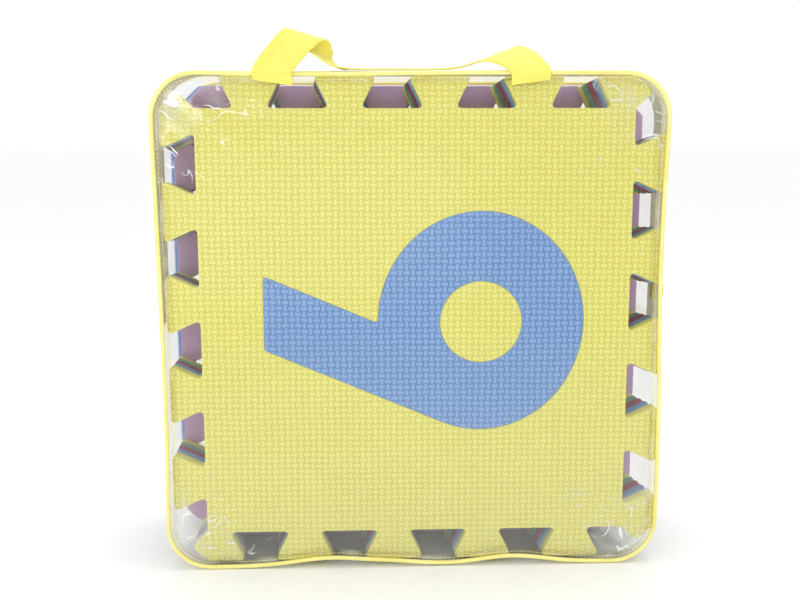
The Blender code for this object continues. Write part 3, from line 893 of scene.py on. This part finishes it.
def panel_wrinkle(x, z):
    """Depth of the film's slack, most of it fanning out of the corners."""
    slack = 0.35 + 0.35 * noise.noise(Vector((x * 11, 2.0, z * 11)))
    corner_x, corner_z = abs(x) / HALF_X, abs(z) / HALF_Z
    corner = smoothstep(corner_x * corner_z, 0.45, 0.85)
    angle = math.atan2(abs(z) - 0.10, abs(x) - 0.10)
    fan = 0.5 + 0.5 * math.sin(angle * 17 + 2.5 * noise.noise(Vector((x * 25, 5.0, z * 25))))
    edge = smoothstep(max(corner_x, corner_z), 0.80, 0.95)
    ripple = 0.5 + 0.5 * noise.noise(Vector((x * 70, 8.0, z * 70)))
    return (slack + corner * fan * 0.7 + edge * ripple * 0.45) * MM


def make_panel(name, node, side, mat):
    """Film panel: a thin sheet with its slack, gathered in under the flange."""
    cells = PANEL_CELLS
    radius = CORNER_R - 2 * CORD_R
    half_x, half_z = HALF_X - 2.4 * CORD_R, HALF_Z - 2.4 * CORD_R
    base = side * (abs(PANEL_Y) + PANEL_LIFT)
    bm = bmesh.new()
    layers = []
    for layer in (0, 1):
        grid = []
        for j in range(cells + 1):
            row = []
            for i in range(cells + 1):
                u, v = 2 * i / cells - 1, 2 * j / cells - 1
                x, z = squircle(u, v, half_x, half_z, radius)
                out = max(abs(x) / half_x, abs(z) / half_z)
                depth = panel_wrinkle(x * side, z) * (1 - smoothstep(out, 0.955, 1.0))
                pulled = bag_point(x, side * 0.05, z, FRONT_PULLS, BACK_PULLS)
                plain = Vector((BAG_X + x, 0, CENTRE_Z + z))
                place = plain.lerp(pulled, smoothstep(out, 0.75, 1.0))
                place.y = base + side * (depth + layer * FILM_T)
                row.append(bm.verts.new(place))
            grid.append(row)
        layers.append(grid)
    for grid in layers:
        for j in range(cells):
            for i in range(cells):
                bm.faces.new((grid[j][i], grid[j][i + 1], grid[j + 1][i + 1], grid[j + 1][i]))
    rim = [(i, 0) for i in range(cells)] + [(cells, j) for j in range(cells)]
    rim += [(i, cells) for i in range(cells, 0, -1)] + [(0, j) for j in range(cells, 0, -1)]
    for k, (i, j) in enumerate(rim):
        ni, nj = rim[(k + 1) % len(rim)]
        a, b = layers
        bm.faces.new((a[j][i], a[nj][ni], b[nj][ni], b[j][i]))
    bmesh.ops.recalc_face_normals(bm, faces=bm.faces)
    panel = link(name, bm, [mat], smooth_angle=40)
    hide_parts(node)


def film_strip(name, node, path, y_low, y_high, mat):
    """A strip of gusset film that runs along the outline."""
    count = max(3, round((y_high - y_low) / (5 * MM)))
    outer = [(0.0, y_low + (y_high - y_low) * i / count) for i in range(count + 1)]
    inner = [(-GUSSET_T, y) for _, y in reversed(outer)]

    def spot(x, y, z, _outward):
        place = bag_point(x, y, z, FRONT_PULLS, BACK_PULLS)
        inward = Vector((BAG_X - place.x, 0, CENTRE_Z - place.z))
        if abs(z) > abs(x):
            inward.x *= 0.2
        else:
            inward.z *= 0.2
        mid = smoothstep(min(y - y_low, y_high - y), 0.0, 10 * MM)
        wave = 0.5 + 0.5 * noise.noise(Vector((x * 22, y * 40, z * 22)))
        under = smoothstep(-z, 0.9 * HALF_Z, 0.99 * HALF_Z)
        place += inward.normalized() * (1.5 * MM * wave * mid * (1 - under))
        return place

    strip = link(name, sweep(path, outer + inner, False, spot), [mat], smooth_angle=40)
    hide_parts(node)
    path_length(path)


def path_length(path):
    return sum((b[0] - a[0]).length for a, b in zip(path, path[1:]))


def lower_path():
    """The lower half of the outline: the upper half turned round."""
    return [(Vector((-p.x, -p.y)), -n) for p, n in outline_path(start_z=0.0)]


def make_gusset(mat):
    edge = abs(GUSSET_Y)
    film_strip("gusset_lower_film", "lower_gusset", lower_path(), -edge, edge, mat)
    high = outline_path(start_z=0.3 * MM)
    for side in ("front", "back"):
        node = f"upper_gusset_{side}"
        low_corner, high_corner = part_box(node)
        film_strip(f"gusset_{side}_film", node, high, low_corner[1], high_corner[1], mat)


def make_bindings(mat):
    """Cross seams where the zip starts and ends: folded film with rolled edges."""
    # Steps outwards in 0.75 mm, and place across the seam from -1 to 1
    shape = ((0, -1), (0.9, -0.9), (1.0, -0.6), (0.55, 0), (1.0, 0.6), (0.9, 0.9), (0, 1))
    for side, name in ((1, "right"), (-1, "left")):
        node = f"seam_binding_{name}"
        low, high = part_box(node)
        bm = bmesh.new()
        rings = []
        for i in range(BINDING_ROWS + 1):
            y = low[1] + (high[1] - low[1]) * i / BINDING_ROWS
            sway = 0.3 * MM * noise.noise(Vector((y * 60, side * 4.0, 1.5)))
            ring = []
            for out, rise in shape:
                z = rise * BINDING_HALF + sway
                place = bag_point(side * HALF_X, y, z, FRONT_PULLS, BACK_PULLS)
                place.x += side * (0.1 + 0.75 * out) * MM
                ring.append(bm.verts.new(place))
            rings.append(ring)
        join_rings(bm, rings)
        close_ends(bm, rings)
        bmesh.ops.recalc_face_normals(bm, faces=bm.faces)
        piece = link(f"cross_seam_{name}", bm, [mat], smooth_angle=60)
        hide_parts(node)


# ------------------------------------------------------------------- the zip

def make_tapes(mat):
    """The two tapes, just inside the gusset."""
    path = outline_path(start_z=0.5 * MM)
    for name in ("front", "back"):
        low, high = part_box(f"zip_tape_{name}")
        drop = HALF_X - (high[0] - BAG_X)
        profile = [(-drop, low[1] + (high[1] - low[1]) * k / 4) for k in range(5)]
        rear = [(-drop - TAPE_T, y) for _, y in reversed(profile)]
        tape = link(f"zip_cloth_{name}", sweep(path, profile + rear, False), [mat], smooth_angle=40)
        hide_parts(f"zip_tape_{name}")


def make_coils(mat):
    """Each coil is a row of bent loops whose heads reach between the other's."""
    path = outline_path(COIL_PITCH / 2, start_z=8 * MM)
    for name, side, phase in (("front", -1, 0), ("back", 1, 1)):
        bm = bmesh.new()
        for index in range(phase, len(path) - 1, 2):
            point, normal = path[index]
            along = Vector((-normal.y, normal.x))
            tooth(bm, point, normal, along, side)
        coil = link(f"zip_teeth_{name}", bm, [mat], smooth_angle=60)
        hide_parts(f"zip_coil_{name}")


def tooth(bm, point, normal, along, side):
    """One loop of the coil: up from the tape, over, and down again."""
    # Away from the zip's middle line, and outwards, in mm
    shape = ((2.3, -0.35), (2.3, 0.55), (1.7, 0.95), (1.15, 1.0), (0.8, 0.85), (0.72, 0.45),
             (0.95, 0.1))
    rings = []
    for k, (reach, rise) in enumerate(shape):
        wide = COIL_R * (1.25 if 2 <= k <= 4 else 1.0)
        before, after = shape[max(k - 1, 0)], shape[min(k + 1, len(shape) - 1)]
        run = Vector((after[0] - before[0], after[1] - before[1])).normalized()
        up = Vector((-run.y, run.x))
        ring = []
        for a in range(6):
            angle = 2 * math.pi * a / 6
            shift_along = wide * math.cos(angle)
            shift = up * (COIL_R * math.sin(angle))
            y = ZIP_Y + side * (reach * MM + shift.x)
            out = rise * MM + shift.y
            place = point + normal * out + along * shift_along
            ring.append(bm.verts.new(bag_point(place.x, y, place.y, FRONT_PULLS, BACK_PULLS)))
        rings.append(ring)
    join_rings(bm, rings)
    close_ends(bm, rings)
    new = {face for ring in rings for vert in ring for face in vert.link_faces}
    bmesh.ops.recalc_face_normals(bm, faces=list(new))


# -------------------------------------------------------------------- handle

STRAP_W = 25 * MM
STRAP_T = 1.1 * MM
# Middle of the strap in mm, from the bag's middle along X and from the cord's
# axis in Y and Z, with the direction of the strap's width.
STRAP_ROUTE = (
    ((-87.5, -1.0, -5.6), (1, 0, -0.18)),
    ((-87.5, -1.4, -4.0), (1, 0, -0.14)),
    ((-87.5, -2.5, -1.2), (1, 0, -0.06)),
    ((-87.3, -2.3, 1.5), (1, 0, -0.02)),
    ((-84, -1.2, 7), (1, 0, -0.02)),
    ((-78, -0.5, 14), (1, 0, -0.05)),
    ((-72, 0.6, 20.5), (1, 0, -0.16)),
    ((-67.5, 4, 24), (1, 0.02, -0.27)),
    ((-64.5, 8.5, 22.5), (0.93, 0.25, -0.27)),
    ((-60.5, 11.5, 17), (0.75, 0.6, -0.22)),
    ((-55, 14, 10), (0.4, 0.9, -0.1)),
    ((-48, 16, 5.2), (0.18, 1, 0)),
    ((-38, 16.5, 3.9), (0.05, 1, 0.07)),
    ((-20, 16, 3.7), (0, 1, 0.08)),
    ((0, 16, 3.7), (0, 1, 0.08)),
    ((16, 16.5, 3.9), (0.1, 1, 0.08)),
    ((31, 16.5, 5.2), (0.2, 0.97, 0.1)),
    ((43, 13, 8.7), (0.5, 0.8, 0.2)),
    ((52, 9.5, 11.5), (0.72, 0.6, 0.33)),
    ((59, 6, 12.3), (0.82, 0.4, 0.4)),
    ((66, 2.5, 9.3), (0.93, 0.2, 0.28)),
    ((71, -0.6, 4.8), (0.99, 0.05, 0.1)),
    ((73.6, -2.2, 1.5), (1, 0, 0.05)),
    ((74, -2.5, -1.2), (1, 0, 0.1)),
    ((74, -1.4, -4.0), (1, 0, 0.16)),
    ((74, -1.0, -5.4), (1, 0, 0.18)),
)
STRAP_STEPS = 7
# Places across the strap, as shares of its half width; its edges are thinner
STRAP_ACROSS = (-1, -0.97, -0.85, -0.6, -0.3, 0, 0.3, 0.6, 0.85, 0.97, 1)
STRAP_EDGE = 0.35


def strap_sections():
    """A smooth curve through the route, in mm, with the width's direction."""
    points = [Vector(point) for point, _ in STRAP_ROUTE]
    widths = [Vector(width) for _, width in STRAP_ROUTE]
    route = []
    for i in range(len(points) - 1):
        before, after = points[max(i - 1, 0)], points[min(i + 2, len(points) - 1)]
        a, b = points[i], points[i + 1]
        for step in range(STRAP_STEPS):
            t = step / STRAP_STEPS
            bend = (b - before) * t + (2 * before - 5 * a + 4 * b - after) * t ** 2
            bend += (3 * a - before - 3 * b + after) * t ** 3
            ease = t * t * (3 - 2 * t)
            route.append((a + bend / 2, widths[i].lerp(widths[i + 1], ease).normalized()))
    route.append((points[-1], widths[-1].normalized()))
    return route


def make_strap(mat):
    """The whole strap, from one sewn end over the top to the other."""
    axis = Vector((BAG_X, CORD_Y, CENTRE_Z + HALF_Z - CORD_R))
    route = strap_sections()
    profile = [(a, 1) for a in STRAP_ACROSS] + [(a, -1) for a in reversed(STRAP_ACROSS)]
    bm = bmesh.new()
    uv = bm.loops.layers.uv.new("UVMap")
    rings, lengths = [], []
    run = 0.0
    for i, (point, width) in enumerate(route):
        ahead, behind = route[min(i + 1, len(route) - 1)][0], route[max(i - 1, 0)][0]
        if i:
            run += (point - behind).length * MM
        along = (ahead - behind).normalized()
        width = (width - along * width.dot(along) * 0.25).normalized()
        normal = along.cross(width).normalized()
        ring = []
        for a, face in profile:
            thick = STRAP_T / 2 * (STRAP_EDGE if abs(a) == 1 else 1.0)
            place = axis + point * MM + width * (a * STRAP_W / 2) + normal * (face * thick)
            ring.append(bm.verts.new(place))
        rings.append(ring)
        lengths.append(run)
    offsets = [a * STRAP_W / 2 for a, _ in profile]
    for r, (a, b) in enumerate(zip(rings, rings[1:])):
        for k in range(len(profile)):
            face = bm.faces.new((a[k - 1], a[k], b[k], b[k - 1]))
            marks = ((k - 1, r), (k, r), (k, r + 1), (k - 1, r + 1))
            for loop, (side, row) in zip(face.loops, marks):
                loop[uv].uv = (offsets[side], lengths[row])
    close_ends(bm, rings)
    face_outwards(bm)
    strap = link("handle_webbing", bm, [mat], body=None, smooth_angle=60)
    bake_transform(strap)
    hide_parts("handle_strap", "handle_tab_left", "handle_tab_right")


# ------------------------------------------------------------------- staging

def make_stage():
    bm = bmesh.new()
    bmesh.ops.create_grid(bm, x_segments=8, y_segments=8, size=FLOOR_HALF)
    floor = link("studio_floor", bm, [floor_paper()], body=None)
    floor.location.z = -FLOOR_DROP
    world = bpy.data.worlds.new("studio")
    world.use_nodes = True
    sky = world.node_tree.nodes["Background"]
    sky.inputs["Color"].default_value = (1, 1, 1, 1)
    sky.inputs["Strength"].default_value = WORLD_LIGHT
    bpy.context.scene.world = world
    bpy.context.scene.view_settings.view_transform = "Standard"


def area_light(name, place, target, size, power):
    data = bpy.data.lights.new(name, "AREA")
    data.shape = "RECTANGLE"
    data.size, data.size_y = size
    data.energy = power
    lamp = bpy.data.objects.new(name, data)
    bpy.context.scene.collection.objects.link(lamp)
    lamp.location = place
    lamp.rotation_euler = (Vector(target) - Vector(place)).to_track_quat("-Z", "Y").to_euler()


def make_lights():
    middle = (0, 0, 0.16)
    area_light("front_low", (-0.25, -1.3, 0.12), middle, (0.9, 0.35), 2.8)
    area_light("key_left", (-1.1, -1.0, 0.9), middle, (0.5, 0.8), 1.3)
    area_light("top", (0.1, 0.1, 1.5), middle, (1.0, 0.8), 6.0)


def make_camera():
    data = bpy.data.cameras.new("view")
    data.lens = CAMERA_LENS
    data.sensor_width = 36
    data.clip_start = 0.01
    camera = bpy.data.objects.new("view", data)
    bpy.context.scene.collection.objects.link(camera)
    right = CAMERA_RIGHT.normalized()
    back = right.cross(CAMERA_UP).normalized()
    turn = Matrix((right, back.cross(right), back)).transposed().to_4x4()
    place = Vector((BAG_X, FIRST_MAT[0][1], CENTRE_Z)) + CAMERA_PLACE
    camera.matrix_world = Matrix.Translation(place) @ turn
    bpy.context.scene.camera = camera


def paint(node, mat):
    """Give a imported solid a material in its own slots."""
    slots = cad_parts[node].data.materials
    for index in range(len(slots)):
        slots[index] = mat


def main():
    make_camera()
    make_lights()
    make_stage()
    foam = {colour: [foam_face(colour), foam_edge(colour)] for colour in FOAM}
    for index, row in enumerate(STACK):
        make_mat(index, *row, foam)
    clear = film("clear_film", painted_light=1.0)
    side_film = film("gusset_film", haze=0.17, glow=0.6)
    rear_film = film("rear_film", haze=0.1, painted_light=1.0)
    make_panel("film_panel_front", "front_panel", -1, clear)
    make_panel("film_panel_back", "back_panel", 1, rear_film)
    make_gusset(side_film)
    vinyl = piping_vinyl()
    make_cord("piping_cord_front", "front_piping", -1, vinyl)
    make_cord("piping_cord_back", "back_piping", 1, vinyl)
    milky = flange_film()
    make_flange("piping_flange_front", -1, milky)
    make_flange("piping_flange_back", 1, milky)
    sewing = thread()
    make_stitches("seam_stitches_front", -1, sewing)
    make_stitches("seam_stitches_back", 1, sewing)
    make_bindings(milky)
    make_tapes(zip_fabric())
    make_coils(nylon())
    paint_metal = enamel()
    for node in ("zip_slider", "zip_pull", "zip_stop_start", "zip_stop_end"):
        paint(node, paint_metal)
    make_strap(webbing())


main()
